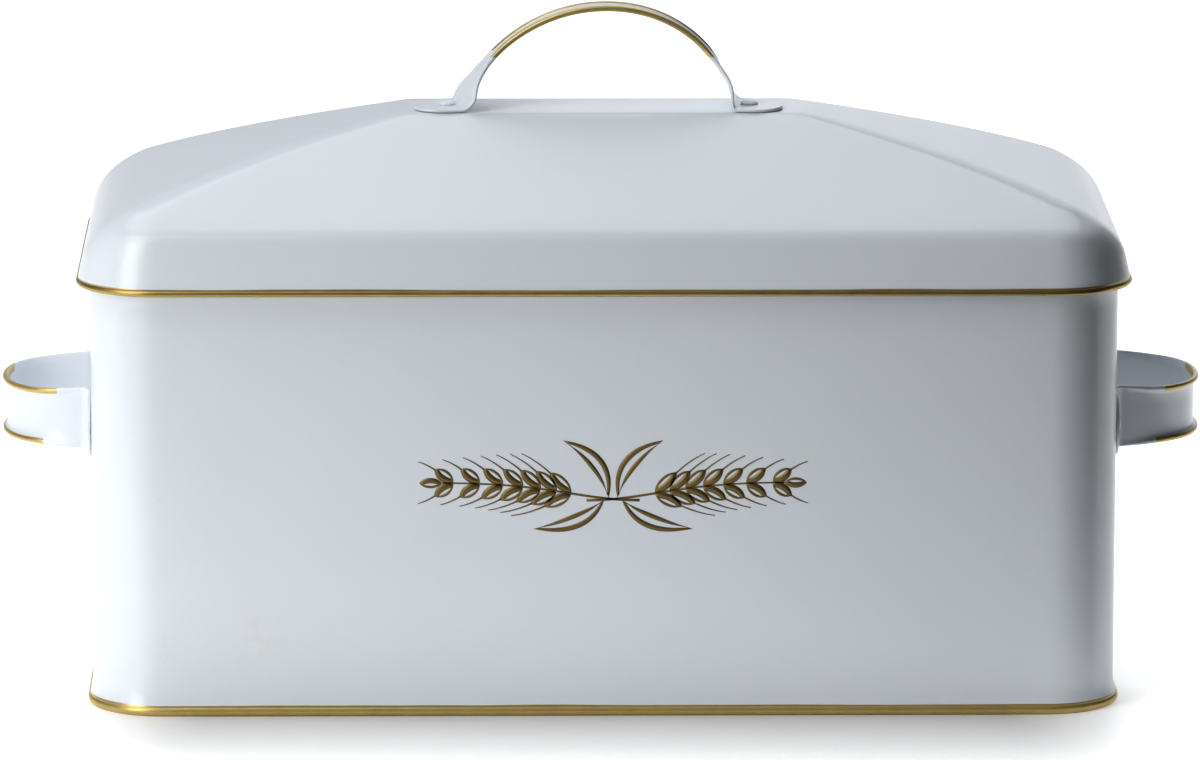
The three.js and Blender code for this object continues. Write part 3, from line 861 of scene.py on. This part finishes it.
def floor():
    """A pale sweep that glows, which is painted light. Along the bin's front edge it is greyer and glows
    less, a painted shadow where the bin shades it, and under the cards it glows more, painted light to make
    up for the light they take."""
    half = 12
    cuts = 8
    shade_half = 0.135
    shade_reach = 0.09
    glow_reach = 0.2
    cards_from, cards_to = -0.19, -0.15
    points = [Vector((mix(-half, half, i / cuts), mix(-half, half, j / cuts), 0))
              for j in range(cuts + 1) for i in range(cuts + 1)]
    row = cuts + 1
    faces = [(j * row + i, j * row + i + 1, (j + 1) * row + i + 1, (j + 1) * row + i)
             for j in range(cuts) for i in range(cuts)]
    mesh = bpy.data.meshes.new("studio_floor")
    mesh.from_pydata([tuple(p) for p in points], [], faces)
    material, tree, place, surface = new_material("studio_floor")
    axes = add_node(tree, "ShaderNodeSeparateXYZ", Vector=place).outputs
    beside = calc(tree, "SUBTRACT", calc(tree, "ABSOLUTE", axes[0]), shade_half)
    past_end = calc(tree, "MULTIPLY", calc(tree, "MAXIMUM", beside, 0.0), 1.6)
    in_front = calc(tree, "ADD", axes[1], WALL_HALF_Y)
    away = calc(tree, "SQRT", calc(tree, "ADD", calc(tree, "MULTIPLY", past_end, past_end),
                                   calc(tree, "MULTIPLY", in_front, in_front)))
    clear = calc(tree, "MINIMUM", calc(tree, "DIVIDE", away, shade_reach), 1.0)
    pale = mix_colour(tree, noise_at(tree, place, 3, 3), (0.90, 0.90, 0.90, 1), (0.93, 0.93, 0.93, 1))
    # Greyer colour near the bin's front edge: a painted shadow
    tone = mix_colour(tree, clear, (0.64, 0.64, 0.635, 1), pale)
    # The glow is painted light; it is weakest near the bin, as painted shadow, and strongest under the cards
    near = mix_value(tree, calc(tree, "POWER", clear, 1.3), 0.02, 0.65)
    far = mix_value(tree, ramp(tree, axes[1], cards_from, cards_to), 1.05, 0.75)
    glow = mix_value(tree, ramp(tree, away, shade_reach, glow_reach), near, far)
    connect(tree, surface, Base_Color=tone, Roughness=0.42, Specular_IOR_Level=0.35,
            Emission_Color=(1, 1, 1, 1), Emission_Strength=glow)
    mesh.materials.append(material)
    made = bpy.data.objects.new("studio_floor", mesh)
    bpy.context.scene.collection.objects.link(made)
    return made


def black_cards():
    """Black velvet that keeps light off the front and its right corner, hidden from the camera: one card
    on the floor before the bin, and one that stands beside the corner."""
    material, tree, place, surface = new_material("velvet")
    tone = mix_colour(tree, noise_at(tree, place, 40, 2), (0.012, 0.012, 0.014, 1), (0.02, 0.02, 0.022, 1))
    connect(tree, surface, Base_Color=tone, Roughness=0.95, Specular_IOR_Level=0.1)
    low, high = 0.002, 0.165
    left_edge, right_edge = -0.30, -0.17
    stand_x, stand_front, stand_back = 0.235, -0.6, -0.075
    outlines = {
        "velvet_floor_card": [(-4, -5, low), (4, -5, low), (4, right_edge, low), (0.15, right_edge, low),
                              (0, left_edge, low), (-4, left_edge, low)],
        "velvet_side_card": [(stand_x, stand_front, low), (stand_x, stand_back, low),
                             (stand_x, stand_back, high), (stand_x, stand_front, high)],
    }
    for name, outline in outlines.items():
        mesh = bpy.data.meshes.new(name)
        mesh.from_pydata(outline, [], [tuple(range(len(outline)))])
        mesh.materials.append(material)
        made = bpy.data.objects.new(name, mesh)
        bpy.context.scene.collection.objects.link(made)
        made.visible_camera = False


def surroundings():
    """A white wall far behind, and a dark room everywhere else."""
    world = bpy.data.worlds.new("studio")
    world.use_nodes = True
    tree = world.node_tree
    tree.nodes.clear()
    way = add_node(tree, "ShaderNodeTexCoord").outputs["Generated"]
    depth = add_node(tree, "ShaderNodeSeparateXYZ", Vector=way).outputs[1]
    behind = ramp(tree, depth, 0.45, 0.95)
    tone = mix_colour(tree, behind, (0.004, 0.004, 0.005, 1), (0.97, 1.0, 1.06, 1))
    background = add_node(tree, "ShaderNodeBackground", Color=tone, Strength=0.47)
    out = add_node(tree, "ShaderNodeOutputWorld")
    tree.links.new(background.outputs[0], out.inputs[0])
    bpy.context.scene.world = world


def softbox(name, bearing, elevation, distance, size, power, colour):
    """A soft light aimed at the bin, in degrees, metres and watts. The bearing runs from the front
    towards the left."""
    turn, lift = math.radians(bearing), math.radians(elevation)
    away = Vector((-math.sin(turn) * math.cos(lift), -math.cos(turn) * math.cos(lift), math.sin(lift)))
    light = bpy.data.lights.new(name, "AREA")
    light.shape = "RECTANGLE"
    light.size, light.size_y = size
    light.energy = power
    light.color = colour
    made = bpy.data.objects.new(name, light)
    bpy.context.scene.collection.objects.link(made)
    bin_middle = Vector((0, 0, 0.11))
    made.location = bin_middle + away * distance
    made.rotation_mode = "QUATERNION"
    made.rotation_quaternion = (-away).to_track_quat("-Z", "Y")


def lights():
    """Three on the left at rising heights, one high behind and a faint one behind on the right."""
    softbox("key_low", 46, 15, 1.3, (0.5, 0.9), 7.4, (1.0, 0.98, 0.95))
    softbox("key_middle", 48, 40, 1.4, (0.9, 0.9), 4.7, (1.0, 0.99, 0.975))
    softbox("key_high", 60, 60, 1.4, (0.9, 0.9), 6.2, (0.97, 0.99, 1.0))
    softbox("high_back", 180, 62, 1.6, (1.6, 0.9), 8.2, (0.95, 0.98, 1.0))
    softbox("edge_right", -165, 15, 1.6, (0.9, 1.0), 1.8, (0.93, 0.97, 1.0))


def camera():
    """Three metres off the lid's front edge, looking down on it and a little from the left."""
    distance = 3.0
    pitch = math.radians(11.3)
    yaw = math.radians(1.1)
    roll = math.radians(0.12)
    target = Vector((-2.0 * MM, -LID_HALF_Y, 117 * MM))
    forward = Vector((math.sin(yaw) * math.cos(pitch), math.cos(yaw) * math.cos(pitch), -math.sin(pitch)))
    level = Vector((math.cos(yaw), -math.sin(yaw), 0))
    up = level.cross(forward)
    right = level * math.cos(roll) + up * math.sin(roll)
    true_up = up * math.cos(roll) - level * math.sin(roll)
    data = bpy.data.cameras.new("camera")
    data.sensor_width = 36
    data.lens = 267.2
    data.clip_end = 50
    made = bpy.data.objects.new("camera", data)
    place = target - forward * distance
    turn = Matrix((right, true_up, -forward)).transposed().to_4x4()
    made.matrix_world = Matrix.Translation(place) @ turn
    bpy.context.scene.collection.objects.link(made)
    bpy.context.scene.camera = made


wall()
rear_seam()
floor_pan()
base_bead()
lid_skin()
lid_rim()
top_handle()
side_handle(-1, "left", gold_on_loop(187 * MM, 192 * MM))
side_handle(1, "right", gold_on_loop(193 * MM, 190 * MM))
fasteners()
motif()

floor()
black_cards()
surroundings()
lights()
camera()
bpy.context.scene.view_settings.view_transform = "Standard"
